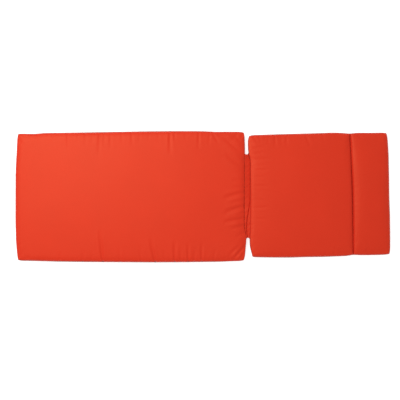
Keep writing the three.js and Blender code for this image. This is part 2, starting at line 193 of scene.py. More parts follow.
# Cloth as it settles on its filling
SWELL_ROOM = 1.5 * MM
SWELL_LIMIT = 2.5 * MM
SIDEWAYS_SHARE = 0.35
FILLING_PRESSURE = 0.25
CLOTH_MASS = 0.3
CLOTH_STIFFNESS = 15
CLOTH_BENDING = 0.05
GATHERED_SHARE = 0.05
GATHERED_REACH = 35 * MM
GATHERED_STEPS = 20
SETTLING_FRAMES = 20


def seam_line(node):
    """The edge seam of a pad's solid, as its four sides. Each one runs towards +X or +Y."""
    points = np.array([v.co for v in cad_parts[node].data.vertices])
    on_seam = points[np.abs(points[:, 2] - SEAM_HEIGHT) < NEAR_ENOUGH / 2][:, :2]
    ring = np.unique(np.round(on_seam, 5), axis=0)
    middle = (ring.min(0) + ring.max(0)) / 2
    ring = ring[np.argsort(np.arctan2(ring[:, 1] - middle[1], ring[:, 0] - middle[0]))]

    def between(start, end):
        a = int(np.argmax(ring @ np.array(start)))
        b = int(np.argmax(ring @ np.array(end)))
        return ring[a : b + 1] if a <= b else np.concatenate([ring[a:], ring[: b + 1]])

    return {
        "near": between((-1, -1), (1, -1)),
        "head": between((1, -1), (1, 1)),
        "far": between((1, 1), (-1, 1))[::-1],
        "foot": between((-1, 1), (-1, -1))[::-1],
    }


def lengths_along(line):
    """How far along a line each of its points lies."""
    steps = np.linalg.norm(np.diff(line, axis=0), axis=1)
    return np.concatenate([[0], np.cumsum(steps)])


def smooth_values(values, places, wanted):
    """Values at the wanted places, on smooth curves through the values at the known places."""
    slopes = np.gradient(values, places, axis=0)
    i = np.clip(np.searchsorted(places, wanted, side="right") - 1, 0, len(places) - 2)
    shape = (-1,) + (1,) * (values.ndim - 1)
    span = (places[i + 1] - places[i]).reshape(shape)
    t = (wanted - places[i]).reshape(shape) / span
    ease = t * t * (3 - 2 * t)
    bend = span * (slopes[i] * t * (1 - t) ** 2 - slopes[i + 1] * t**2 * (1 - t))
    return values[i] * (1 - ease) + values[i + 1] * ease + bend


def smooth_line(line, shares):
    """Points at those shares of the length of a smooth curve through a line's points."""
    along = lengths_along(line)
    return smooth_values(line, along, np.clip(shares, 0, 1) * along[-1])


def sewn_shares(length, edge_lines, pitch):
    """Shares of a length for grid lines: close together round both sewn edges, and then even."""
    turn = np.linspace(0, math.pi / 2, edge_lines)
    inset = (1 - np.cos(turn) ** (2 / ROLL_POWER)) * TOP_ROLL
    count = round((length - 2 * TOP_ROLL) / pitch)
    even = np.linspace(TOP_ROLL, length - TOP_ROLL, count + 1)[1:-1]
    return np.concatenate([inset, even, length - inset[::-1]]) / length


def cloth_between(first, last, near, far, across, along):
    """A grid of points in plan, between two lines across a pad and the stretches of its sides."""
    u = across[:, None, None]
    v = along[None, :, None]
    ruled = (1 - u) * first[None] + u * last[None] + (1 - v) * near[:, None] + v * far[:, None]
    corners = (1 - u) * ((1 - v) * first[0] + v * first[-1]) + u * ((1 - v) * last[0] + v * last[-1])
    return ruled - corners


def rounding(distance, reach):
    """How full a rounded edge is at a distance from its seam: wholly from that reach on."""
    left = 1 - np.clip(distance / reach, 0, 1)
    return (1 - left**ROLL_POWER) ** (1 / ROLL_POWER)


def crown(share):
    """How high a crown stands at a share of the way across it: wholly in its middle."""
    return 1 - np.abs(2 * np.clip(share, 0, 1) - 1) ** CROWN_POWER


def pad_plan(sides, lines, hinge, channel=None):
    """A pad in plan: a grid inside its seam, and how far each point is from seam and channel. The
    flap is sewn to the pad's hinge end."""
    edge_lines, long_pitch, cross_pitch = lines
    guides = [sides["foot"], sides["head"]]
    if channel is not None:
        guides.insert(1, channel)
    width = np.mean([lengths_along(guide)[-1] for guide in guides])
    rows = sewn_shares(width, edge_lines, cross_pitch)
    zones = []
    for first, last in zip(guides[:-1], guides[1:]):
        stretches = []
        for side, end in (("near", 0), ("far", -1)):
            fine = smooth_line(sides[side], np.linspace(0, 1, CUTTING_POINTS))
            a, b = [int(np.argmin(np.linalg.norm(fine - line[end], axis=1))) for line in (first, last)]
            stretches.append(fine[a : b + 1])
        length = np.mean([lengths_along(stretch)[-1] for stretch in stretches])
        columns = sewn_shares(length, edge_lines, long_pitch)
        grid = cloth_between(
            smooth_line(first, rows),
            smooth_line(last, rows),
            smooth_line(stretches[0], columns),
            smooth_line(stretches[1], columns),
            columns,
            rows,
        )
        zones.append((columns, grid))
    grid = np.concatenate([zones[0][1]] + [zone[1][1:] for zone in zones[1:]])
    columns = np.concatenate([zones[0][0]] + [i + zone[0][1:] for i, zone in enumerate(zones[1:], 1)])
    crowns = np.concatenate([crown(zones[0][0])] + [crown(zone[0][1:]) for zone in zones[1:]])

    def distance(lines):
        return np.min([np.linalg.norm(grid - line, axis=2) for line in lines], axis=0)

    from_channel = np.full(grid.shape[:2], np.inf)
    if channel is not None:
        from_channel = distance([grid[len(zones[0][0]) - 1][None]])
    return {
        "grid": grid,
        "columns": columns,
        "rows": rows,
        "from_ends": distance([grid[:1], grid[-1:]]),
        "from_sides": distance([grid[:, :1], grid[:, -1:]]),
        "from_hinge": distance([grid[-1:] if hinge == "head" else grid[:1]]),
        "from_free_end": distance([grid[:1] if hinge == "head" else grid[-1:]]),
        "from_channel": from_channel,
        "crown": crowns[:, None] * crown(rows)[None],
    }


def filled(plan, reach, hinge_reach):
    """How full a pad is at each point, for edges that round off over that reach, and over the other
    one beside the hinge."""
    full = rounding(plan["from_free_end"], reach) * rounding(plan["from_hinge"], hinge_reach)
    full = full * rounding(plan["from_sides"], reach)
    return full * (CHANNEL_FILL + (1 - CHANNEL_FILL) * rounding(plan["from_channel"], CHANNEL_ROLL))


def plain_pad(plan, lower, hinge_sag):
    """The top and the bottom panel of a pad without creases, its top lower by that much. Beside the
    seams the filling thins out, and most of all beside the hinge."""
    height = SHOULDER_HEIGHT - SEAM_HEIGHT - lower + CROWN_RISE * plan["crown"]
    from_edge = np.minimum(plan["from_ends"], plan["from_sides"])
    height = height - EDGE_SAG * np.exp(-from_edge / EDGE_SAG_REACH)
    height = height - hinge_sag * np.exp(-plan["from_hinge"] / HINGE_SAG_REACH)
    top = np.dstack([plan["grid"], SEAM_HEIGHT + filled(plan, TOP_ROLL, HINGE_ROLL) * height])
    underneath = filled(plan, BOTTOM_ROLL, BOTTOM_ROLL)
    bottom = np.dstack([plan["grid"], SEAM_HEIGHT * (1 - underneath)])
    return top, bottom


def facing(grid):
    """The way that each point of a grid faces, with +Z up."""
    normal = np.cross(np.gradient(grid, axis=0), np.gradient(grid, axis=1))
    return normal / np.maximum(np.linalg.norm(normal, axis=2, keepdims=True), 1e-12)


def two_panel_mesh(name, top, bottom, wear_and_shade):
    """One closed mesh of a top and a bottom grid that share their border, with a UV map in metres.
    Also gives the numbers of each grid's vertices."""
    columns, rows = top.shape[:2]
    inner = (slice(1, -1), slice(1, -1))
    upper = np.arange(columns * rows).reshape(columns, rows)
    lower = upper.copy()
    lower[inner] = columns * rows + np.arange((columns - 2) * (rows - 2)).reshape(columns - 2, rows - 2)

    def corners(grid, faces_up):
        four = [grid[:-1, :-1], grid[1:, :-1], grid[1:, 1:], grid[:-1, 1:]]
        return np.stack(four if faces_up else four[::-1], axis=2)

    def cloth_lengths(grid):
        along = np.linalg.norm(np.diff(grid, axis=0), axis=2).mean(1)
        across = np.linalg.norm(np.diff(grid, axis=1), axis=2).mean(0)
        lengths = [np.concatenate([[0], np.cumsum(steps)]) for steps in (along, across)]
        return np.stack(np.meshgrid(*lengths, indexing="ij"), axis=-1)

    points = np.concatenate([top.reshape(-1, 3), bottom[inner].reshape(-1, 3)])
    faces = np.concatenate([corners(upper, True).reshape(-1, 4), corners(lower, False).reshape(-1, 4)])
    mesh = bpy.data.meshes.new(name)
    mesh.from_pydata(points.tolist(), [], faces.tolist())
    uv = [corners(cloth_lengths(top), True), corners(cloth_lengths(bottom), False)]
    uv = np.concatenate([part.reshape(-1, 2) for part in uv]).astype(np.float32)
    mesh.uv_layers.new(name="cloth").data.foreach_set("uv", uv.ravel())
    # These wear values also set a painted shade along the seam in the canvas material
    worn_and_shaded = np.concatenate([wear_and_shade.ravel(), wear_and_shade[inner].ravel()]).astype(np.float32)
    mesh.attributes.new("seam_wear_and_shade", "FLOAT", "POINT").data.foreach_set("value", worn_and_shaded)
    mesh.polygons.foreach_set("use_smooth", np.ones(len(faces), bool))
    mesh.update()
    piece = bpy.data.objects.new(name, mesh)
    bpy.context.scene.collection.objects.link(piece)
    return piece, upper, lower


def waves(grid, chance, height, shortest, longest, count):
    """Soft unevenness: waves of random length and direction, of that height together."""
    relief = np.zeros(grid.shape[:2])
    for _ in range(count):
        length = chance.uniform(shortest, longest)
        turn = chance.uniform(0, math.pi)
        way = np.array((math.cos(turn), math.sin(turn))) * 2 * math.pi / length
        relief += np.sin(grid[..., :2] @ way + chance.uniform(0, 2 * math.pi))
    return relief * height / math.sqrt(count)


def hold_and_gather(piece, points, panels, near_seam):
    """Holds a rough pad where it is sewn and where it lies, and gathers its cloth near the seams."""
    held_points = points[:, 2] < NEAR_ENOUGH / 10
    gathering = np.zeros(len(points))
    for panel in panels:
        held_points[panel[near_seam < NEAR_ENOUGH]] = True
        gathering[panel] = np.exp(-((near_seam / GATHERED_REACH) ** 2))
    held = piece.vertex_groups.new(name="held")
    held.add(np.flatnonzero(held_points).tolist(), 1.0, "REPLACE")
    gathered = piece.vertex_groups.new(name="gathered")
    for step in range(1, GATHERED_STEPS + 1):
        chosen = np.flatnonzero(np.round(gathering * GATHERED_STEPS) == step).tolist()
        gathered.add(chosen, step / GATHERED_STEPS, "REPLACE")


def settled_points(piece):
    """Where the points of a rough pad come to rest when the filling presses its cloth out."""
    cloth = piece.modifiers.new("cloth", "CLOTH")
    settings = cloth.settings
    settings.mass = CLOTH_MASS
    settings.tension_stiffness = CLOTH_STIFFNESS
    settings.compression_stiffness = CLOTH_STIFFNESS
    settings.shear_stiffness = CLOTH_STIFFNESS / 3
    settings.bending_stiffness = CLOTH_BENDING
    settings.use_pressure = True
    settings.uniform_pressure_force = FILLING_PRESSURE
    settings.vertex_group_mass = "held"
    settings.vertex_group_shrink = "gathered"
    settings.shrink_min = 0
    settings.shrink_max = -GATHERED_SHARE
    settings.effector_weights.gravity = 0
    cloth.collision_settings.use_collision = False
    cloth.point_cache.frame_start = 1
    cloth.point_cache.frame_end = SETTLING_FRAMES
    for number in range(1, SETTLING_FRAMES + 1):
        bpy.context.scene.frame_set(number)
    settled = piece.evaluated_get(bpy.context.evaluated_depsgraph_get()).to_mesh()
    return np.array([v.co for v in settled.vertices])


def settled_moves(plan, hinge_sag, chance):
    """How far cloth moves as the filling presses it out, for both panels of a pad. The seam, the
    channel and the part that lies on the ground are held, and the seam gathers the cloth near it."""
    top, bottom = plain_pad(plan, SWELL_ROOM, hinge_sag)
    full = filled(plan, TOP_ROLL, HINGE_ROLL)
    top[..., 2] += waves(plan["grid"], chance, *LOOSE_CLOTH_WAVES) * full
    near_seam = np.minimum(np.minimum(plan["from_ends"], plan["from_sides"]), plan["from_channel"])
    piece, upper, lower = two_panel_mesh("settling", top, bottom, near_seam)
    points = np.array([v.co for v in piece.data.vertices])
    hold_and_gather(piece, points, (upper, lower), near_seam)
    moves = settled_points(piece) - points
    bpy.data.objects.remove(piece)
    bpy.context.scene.frame_set(1)
    far = np.maximum(np.linalg.norm(moves, axis=1, keepdims=True), 1e-9)
    moves *= SWELL_LIMIT * np.tanh(far / SWELL_LIMIT) / far
    moves[:, :2] *= SIDEWAYS_SHARE
    return moves[upper], moves[lower]


def carried(moves, known, wanted):
    """Moves of one grid of a pad, carried over to a finer grid of the same pad."""
    along = smooth_values(moves, known["columns"], wanted["columns"])
    across = smooth_values(along.swapaxes(0, 1), known["rows"], wanted["rows"])
    return across.swapaxes(0, 1)


def pull_creases(grid, creases):
    """Relief of creases that fade out at both ends: soft troughs between two low ridges."""
    relief = np.zeros(grid.shape[:2])
    for x0, y0, x1, y1, width, depth in creases:
        start = np.array((x0, y0)) * MM
        run = np.array((x1, y1)) * MM - start
        length = np.linalg.norm(run)
        away = grid - start
        share = (away @ run) / length**2
        across = (away @ np.array((-run[1], run[0]))) / length / (width / 2 * MM)
        fade = np.clip(1 - np.abs(2 * share - 1) ** CREASE_FADE_POWER, 0, 1)
        relief -= depth * MM * fade * (1 - CREASE_RIDGES * across**2) * np.exp(-(across**2) / 2)
    return relief


def seam_puckers(grid, side, axis, puckers):
    """Relief of the puckers that run in from one side's seam, each from its place on that axis.
    They are deepest at the seam, and widen and fade as they run in."""
    relief = np.zeros(grid.shape[:2])
    line = smooth_line(side, np.linspace(0, 1, PUCKER_POINTS))
    halfway = PUCKER_POINTS // 2
    tangents = np.gradient(line, axis=0)
    tangents /= np.linalg.norm(tangents, axis=1, keepdims=True)
    inward = np.stack([-tangents[:, 1], tangents[:, 0]], axis=1)
    if (grid.reshape(-1, 2).mean(0) - line[halfway]) @ inward[halfway] < 0:
        inward = -inward
    for place, lean, length, width, depth in puckers:
        k = int(np.argmin(np.abs(line[:, axis] - place * MM)))
        turn = math.radians(lean)
        ahead = inward[k] * math.cos(turn) + tangents[k] * math.sin(turn)
        away = grid - line[k]
        share = (away @ ahead) / (length * MM)
        spread = width / 2 * MM * np.interp(share, (0, 1), PUCKER_SPREAD)
        across = (away @ np.array((-ahead[1], ahead[0]))) / spread
        fade = np.clip(1 - share**2, 0, 1)
        relief -= depth * MM * fade * (1 - PUCKER_RIDGES * across**2) * np.exp(-(across**2) / 2)
    return relief


def chance_puckers(side, axis, chance, spacing, depth):
    """Small uneven puckers all along a seam, in the columns that seam_puckers reads."""
    found = []
    place = side[0, axis] / MM + chance.uniform(PUCKERS_START, spacing)
    while place < side[-1, axis] / MM - PUCKERS_START:
        lean = chance.uniform(*PUCKER_LEANS)
        length = chance.uniform(*PUCKER_LENGTHS)
        width = chance.uniform(*PUCKER_WIDTHS)
        deep = depth * chance.uniform(*PUCKER_DEPTH_SHARES) ** PUCKER_DEPTH_POWER
        found.append((place, lean, length, width, deep))
        place += chance.uniform(*PUCKER_GAP_SHARES) * spacing
    return found


def edge_puckers(plan, sides, puckers, chance):
    """Relief of the puckers of a pad's edge seam, on its top and on its underside."""
    grid = plan["grid"]
    above = np.zeros(grid.shape[:2])
    under = np.zeros(grid.shape[:2])
    for side, axis in (("near", 0), ("far", 0), ("foot", 1), ("head", 1)):
        small = chance_puckers(sides[side], axis, chance, *TOP_PUCKERS)
        above += seam_puckers(grid, sides[side], axis, small + puckers.get(side, []))
        small = chance_puckers(sides[side], axis, chance, *UNDER_PUCKERS)
        under += seam_puckers(grid, sides[side], axis, small)
    return above, under


def channel_puckers(plan, channel, chance):
    """Relief of the small puckers that run away from a channel, on both sides of it."""
    grid = plan["grid"]
    relief = np.zeros(grid.shape[:2])
    beyond = (np.arange(len(grid)) >= np.argmin(plan["from_channel"][:, 0]))[:, None]
    for on_this_side in (beyond, ~beyond):
        small = chance_puckers(channel, 1, chance, *CHANNEL_PUCKERS)
        side_grid = np.where(on_this_side[..., None], grid, grid[:1])
        relief += np.where(on_this_side, seam_puckers(side_grid, channel, 1, small), 0)
    return relief


def stand_out(panel, plan):
    """Moves a panel's border outward as far as its sewn edge stands out, and not beside the hinge."""
    free = np.clip(plan["from_hinge"] / TOP_ROLL, 0, 1)[..., None] * SEAM_STANDS_OUT
    for border, inside in ((0, OUTWARD_FROM), (-1, -1 - OUTWARD_FROM)):
        for lines, amount in ((panel, free), (panel.swapaxes(0, 1), free.swapaxes(0, 1))):
            back = lines[border, :, :2] - lines[inside, :, :2]
            lines[border, :, :2] += back / np.linalg.norm(back, axis=1, keepdims=True) * amount[border]


def edge_wear_and_shade(plan):
    """How worn the cloth is, and how strong a painted shade lies along its seam: both fully at the edge
    seam, and less where the flap shelters it.
    """
    wear_and_shade = np.exp(-np.minimum(plan["from_ends"], plan["from_sides"]) / WEAR_AND_SHADE_REACH)
    y = plan["grid"][..., 1]
    beside_flap = (y > FLAP_NEAR) & (y < FLAP_FAR)
    sheltered = beside_flap & (plan["from_hinge"] < SHELTER_REACH)
    return np.where(sheltered, wear_and_shade * SHELTERED_WEAR_AND_SHADE, wear_and_shade)


def sewn_pad(name, node, hinge, hinge_sag, channel, creases, puckers, seed):
    """A finished pad: its plain form, swelled by the filling, then creased and puckered."""
    chance = np.random.default_rng(seed)
    sides = seam_line(node)
    plan = pad_plan(sides, FINE_LINES, hinge, channel)
    top, bottom = plain_pad(plan, SWELL_ROOM, hinge_sag)
    rough = pad_plan(sides, SETTLING_LINES, hinge, channel)
    for panel, moves in zip((top, bottom), settled_moves(rough, hinge_sag, chance)):
        panel += carried(moves, rough, plan)
    edge = filled(plan, TOP_ROLL, HINGE_ROLL)
    uneven = waves(plan["grid"], chance, *FILLING_WAVES) * edge
    above, under = edge_puckers(plan, sides, puckers, chance)
    above += pull_creases(plan["grid"], creases)
    if channel is not None:
        above += channel_puckers(plan, channel, chance)
    rise = np.clip(edge / WHOLE_RELIEF_FILL, 0, 1)
    top += (uneven + above * rise)[..., None] * facing(top)
    lies = filled(plan, BOTTOM_ROLL, BOTTOM_ROLL)
    bottom -= (under * rise * (1 - lies) ** 0.5)[..., None] * facing(bottom)
    bottom[..., 2] = np.maximum(bottom[..., 2], 0)
    bottom[lies > LYING_FILL, 2] = 0
    stand_out(top, plan)
    piece, _, _ = two_panel_mesh(name, top, bottom, edge_wear_and_shade(plan))
    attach(piece, "root")
    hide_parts(node)
    return piece, plan, top, bottom


# Canvas: a matt orange red cloth in plain weave, dyed in the piece, with slightly uneven yarns
CANVAS_RED = (0.592, 0.0225, 0.008, 1)
CANVAS_FADED = (0.652, 0.033, 0.0115, 1)
FADING = 0.9
# Painted shade: the cloth is darkened at its seams, standing in for the shade in the seam's groove
PAINTED_SEAM_SHADE = 0.9
PAINTED_SEAM_SHADE_POWER = 5
# Painted shade: the flap's copy of the canvas is a little darker than the pads', for the low place it
# lies in between them
FLAP_PAINTED_SHADE_TONE = 0.97
YARN_PITCH = 0.9 * MM
YARN_RELIEF = 0.16 * MM
BASE_TONE = 0.86
SLUB_SCALE = 60
SLUB_STRETCH = 18
DYE_SCALE = 6
CHAFING_SCALE = 90
SLUB_CONTRAST = 0.10
DYE_CONTRAST = 0.08
# Painted shade in the weave: how much darker the cloth is where the weave's relief is low
WEAVE_HOLLOW_SHADE = 0.12


def canvas_material(name, painted_shade_share=1):
    """Plain weave: yarns over and under with painted shade in their hollows, slubs, a soft unevenness of
    the dye, worn seams with a painted shade along them, and a tone share that paints the whole cloth
    darker as shade.
    """
    material = bpy.data.materials.new(name)
    material.use_nodes = True
    nodes = material.node_tree.nodes
    links = material.node_tree.links
    shader = nodes["Principled BSDF"]
    shader.inputs["Roughness"].default_value = 0.48
    shader.inputs["Specular IOR Level"].default_value = 0.34
    shader.inputs["Specular Tint"].default_value = (1.0, 0.6, 0.3, 1)
    shader.inputs["Sheen Weight"].default_value = 0.08
    shader.inputs["Sheen Roughness"].default_value = 0.6
    shader.inputs["Sheen Tint"].default_value = (1.0, 0.5, 0.35, 1)
    cloth = nodes.new("ShaderNodeUVMap")
    cloth.uv_map = "cloth"

    def plug(socket, value):
        if isinstance(value, bpy.types.NodeSocket):
            links.new(value, socket)
        else:
            socket.default_value = value

    def maths(operation, *values):
        node = nodes.new("ShaderNodeMath")
        node.operation = operation
        for socket, value in zip(node.inputs, values):
            plug(socket, value)
        return node.outputs[0]

    def noise(scale, detail, stretch=(1, 1, 1)):
        mapping = nodes.new("ShaderNodeMapping")
        mapping.inputs["Scale"].default_value = stretch
        links.new(cloth.outputs[0], mapping.inputs["Vector"])
        node = nodes.new("ShaderNodeTexNoise")
        node.inputs["Scale"].default_value = scale
        node.inputs["Detail"].default_value = detail
        links.new(mapping.outputs[0], node.inputs["Vector"])
        return node.outputs["Fac"]

    def blend(kind, *values):
        node = nodes.new("ShaderNodeMix")
        node.data_type = "RGBA"
        node.blend_type = kind
        for socket, value in zip([s for s in node.inputs if s.enabled], values):
            plug(socket, value)
        return next(s for s in node.outputs if s.enabled)

    along = nodes.new("ShaderNodeSeparateXYZ")
    links.new(cloth.outputs[0], along.inputs[0])
    warp = maths("SINE", maths("MULTIPLY", along.outputs[0], math.pi / YARN_PITCH))
    weft = maths("SINE", maths("MULTIPLY", along.outputs[1], math.pi / YARN_PITCH))
    weave = maths("MULTIPLY_ADD", maths("MULTIPLY", warp, weft), 0.5, 0.5)
    warp_slubs = noise(SLUB_SCALE, 2, (1, SLUB_STRETCH, 1))
    weft_slubs = noise(SLUB_SCALE, 2, (SLUB_STRETCH, 1, 1))
    slubs = maths("ADD", warp_slubs, weft_slubs)
    dye = noise(DYE_SCALE, 3)
    chafing = noise(CHAFING_SCALE, 3)
    worn_and_shaded = nodes.new("ShaderNodeAttribute")
    worn_and_shaded.attribute_name = "seam_wear_and_shade"
    fading = maths("MULTIPLY", maths("MULTIPLY", worn_and_shaded.outputs["Fac"], chafing), FADING)
    colour = blend("MIX", fading, CANVAS_RED, CANVAS_FADED)
    # The tone share paints the whole cloth darker, as painted shade
    yarn_shade = maths("MULTIPLY_ADD", slubs, SLUB_CONTRAST, BASE_TONE * painted_shade_share)
    dye_shade = maths("MULTIPLY_ADD", dye, DYE_CONTRAST, yarn_shade)
    # Painted shade in the weave's hollows, following the same weave as the bump
    painted_weave_shade = maths("MULTIPLY_ADD", weave, WEAVE_HOLLOW_SHADE, 1 - WEAVE_HOLLOW_SHADE / 2)
    # Painted shade along the seam: the cloth darkens sharply towards it
    painted_seam_shade_mask = maths("POWER", worn_and_shaded.outputs["Fac"], PAINTED_SEAM_SHADE_POWER)
    painted_seam_shade = maths("MULTIPLY_ADD", painted_seam_shade_mask, -PAINTED_SEAM_SHADE, 1)
    shade = maths("MULTIPLY", maths("MULTIPLY", dye_shade, painted_weave_shade), painted_seam_shade)
    tone = nodes.new("ShaderNodeCombineColor")
    for socket in tone.inputs:
        links.new(shade, socket)
    links.new(blend("MULTIPLY", 1.0, colour, tone.outputs[0]), shader.inputs["Base Color"])
    relief = nodes.new("ShaderNodeBump")
    relief.inputs["Strength"].default_value = 0.55
    relief.inputs["Distance"].default_value = YARN_RELIEF
    links.new(maths("MULTIPLY_ADD", slubs, 0.5, weave), relief.inputs["Height"])
    links.new(relief.outputs[0], shader.inputs["Normal"])
    return material


# Creases that the flap pulls out of the hinge end: both ends, width and depth, in millimetres
SEAT_CREASES = [
    (50, 338, 84, 288, 14, 1.2),
    (100, 322, 206, 236, 22, 1.7),
    (170, 325, 212, 283, 14, 1.2),
    (118, 228, 212, 160, 24, 1.9),
    (150, 90, 232, 82, 20, 1.2),
    (152, 46, 230, 50, 20, 1.0),
    (108, -8, 238, 27, 24, 2.9),
    (150, -32, 235, -17, 18, 0.9),
    (112, -84, 238, -47, 24, 2.9),
    (180, -98, 238, -80, 14, 1.0),
    (110, -136, 238, -115, 22, 3.0),
    (150, -170, 236, -153, 20, 2.0),
    (170, -218, 236, -187, 18, 1.3),
    (135, -318, 204, -255, 20, 1.8),
    (160, -332, 232, -257, 18, 2.8),
    (196, -336, 232, -276, 12, 1.2),
]
# The larger puckers of each side's seam: place along it, lean, length, width and depth
SEAT_PUCKERS = {
    "far": [
        (-887, 0, 75, 15, 1),
        (-800, 2, 60, 15, 0.6),
        (-718, 0, 95, 16, 1.4),
        (-665, -2, 60, 14, 0.6),
        (-624, 0, 75, 15, 0.9),
        (-587, 0, 60, 12, 0.7),
        (-549, -2, 130, 18, 1.6),
        (-525, 0, 80, 14, 0.8),
        (-491, 0, 100, 15, 1.2),
        (-430, 2, 70, 15, 0.7),
        (-378, 2, 75, 15, 1.2),
        (-336, 0, 60, 12, 0.7),
        (-288, 0, 60, 12, 0.7),
        (-235, 1, 60, 15, 0.6),
        (-176, 1, 135, 18, 2),
        (-149, 0, 60, 12, 0.8),
        (-90, 0, 60, 15, 0.6),
        (-21, -1, 105, 15, 1.3),
        (40, -4, 80, 15, 0.8),
    ],
    "near": [
        (-760, 0, 60, 16, 1.3),
        (-640, 4, 70, 16, 1.5),
        (-592, 0, 60, 13, 1.6),
        (-532, -6, 180, 18, 3.7),
        (-440, -4, 80, 14, 1.5),
        (-330, -4, 80, 14, 1.5),
        (-251, -12, 140, 18, 4),
        (-200, -6, 70, 14, 1.5),
        (-149, 0, 120, 16, 3.1),
        (-118, 0, 80, 13, 1.8),
        (-77, 0, 110, 14, 3),
        (-45, 2, 70, 13, 1.6),
        (-5, 0, 105, 14, 2.8),
        (60, 4, 70, 14, 1.5),
    ],
}
SEAT_HINGE_SAG = 4 * MM
SEAT_SEED = 7

canvas = canvas_material("orange_red_canvas")
seat, _, _, _ = sewn_pad(
    "seat_pad_canvas", "seat_pad", "head", SEAT_HINGE_SAG, None, SEAT_CREASES, SEAT_PUCKERS, SEAT_SEED
)
seat.data.materials.append(canvas)

# Back pad
# Made as the seat pad is, and a little narrower. One line of sewing through both panels parts off
# the head end. Along it the filling is pinched to almost nothing.
CHANNEL_PATH = np.array([(803, -312), (802.5, -290), (801, -177), (798, 36), (791, 197), (784, 338)]) * MM
# Shallow creases that run in from the hinge, in the same columns as the seat pad's
BACK_CREASES = [
    (262, 258, 330, 262, 13, 1.1),
    (262, 228, 322, 232, 10, 1.1),
    (262, 197, 353, 199, 14, 1.2),
    (262, 164, 340, 163, 10, 0.7),
    (262, 143, 353, 141, 12, 1.2),
    (262, 106, 345, 104, 10, 0.8),
    (262, 58, 350, 55, 12, 1.1),
    (262, -18, 340, -16, 12, 0.6),
    (262, -60, 352, -56, 14, 1),
    (262, -120, 345, -118, 12, 0.7),
]
BACK_PUCKERS = {
    "far": [
        (262, 30, 60, 12, 1.0),
        (300, 10, 50, 11, 0.7),
        (348, 0, 60, 11, 0.9),
        (385, -2, 75, 14, 1.3),
        (417, 0, 60, 10, 0.8),
        (444, 1, 70, 13, 1.2),
        (545, 20, 80, 15, 1.5),
        (640, 4, 60, 12, 0.6),
    ],
    "near": [
        (330, 0, 60, 12, 0.5),
        (470, -4, 60, 12, 0.5),
        (600, 0, 60, 12, 0.5),
        (700, 6, 60, 12, 0.6),
    ],
}
# Beside the hinge this pad stands a little fuller instead
BACK_HINGE_SAG = -1.5 * MM
BACK_SEED = 11

back, back_plan, back_top, back_bottom = sewn_pad(
    "back_pad_canvas",
    "back_pad",
    "foot",
    BACK_HINGE_SAG,
    CHANNEL_PATH,
    BACK_CREASES,
    BACK_PUCKERS,
    BACK_SEED,
)
back.data.materials.append(canvas)

# Channel stitching
# Two rows of one lockstitch seam through both panels of the back pad, seen on its top and on its
# underside. The thread is spun polyester, dyed to match, and a little darker than the canvas.
STITCH_PITCH = 4.2 * MM
STITCH_LENGTH = 3.3 * MM
THREAD_SIZE = 0.9 * MM
THREAD_PROUD = 0.3 * THREAD_SIZE
THREAD_RED = (0.42, 0.016, 0.006, 1)
THREAD_RELIEF = 0.1 * MM


def thread_material():
    """Twisted thread: fine turns across each stitch, and a slight gloss."""
    material = bpy.data.materials.new("red_thread")
    material.use_nodes = True
    nodes = material.node_tree.nodes
    links = material.node_tree.links
    shader = nodes["Principled BSDF"]
    shader.inputs["Base Color"].default_value = THREAD_RED
    shader.inputs["Roughness"].default_value = 0.5
    shader.inputs["Sheen Weight"].default_value = 0.1
    place = nodes.new("ShaderNodeTexCoord")
    turns = nodes.new("ShaderNodeTexWave")
    turns.inputs["Scale"].default_value = 900
    turns.inputs["Distortion"].default_value = 1
    links.new(place.outputs["Object"], turns.inputs["Vector"])
    relief = nodes.new("ShaderNodeBump")
    relief.inputs["Strength"].default_value = 0.4
    relief.inputs["Distance"].default_value = THREAD_RELIEF
    links.new(turns.outputs["Fac"], relief.inputs["Height"])
    links.new(relief.outputs[0], shader.inputs["Normal"])
    return material


